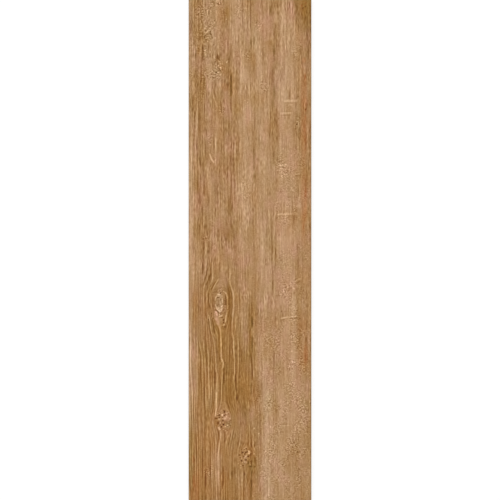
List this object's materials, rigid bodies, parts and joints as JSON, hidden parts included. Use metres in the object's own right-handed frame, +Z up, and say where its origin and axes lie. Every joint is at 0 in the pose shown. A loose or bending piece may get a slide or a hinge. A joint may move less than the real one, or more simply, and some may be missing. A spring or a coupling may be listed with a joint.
{
  "type": "wood look porcelain plank tile",
  "caption": "Flat rectangular porcelain plank tile with a matt wood-figured face, a fine bevelled arris and a waffle-keyed back, for tiling floors and walls.",
  "frame": {"origin": "middle of the back, in the plane of the ribs that the plank rests on", "axes": "+X across the plank, +Y along it towards the end that is at the top of the picture, +Z up out of the printed face"},
  "size_m": [0.147, 0.6, 0.009],
  "materials": {
    "printed_porcelain": "matt glaze with a honey-brown wood figure printed and lightly embossed on the face; bare buff porcelain on the ground sides and the back"
  },
  "bodies": {
    "root": {"plank_tile": "printed_porcelain"}
  },
  "joints": []
}
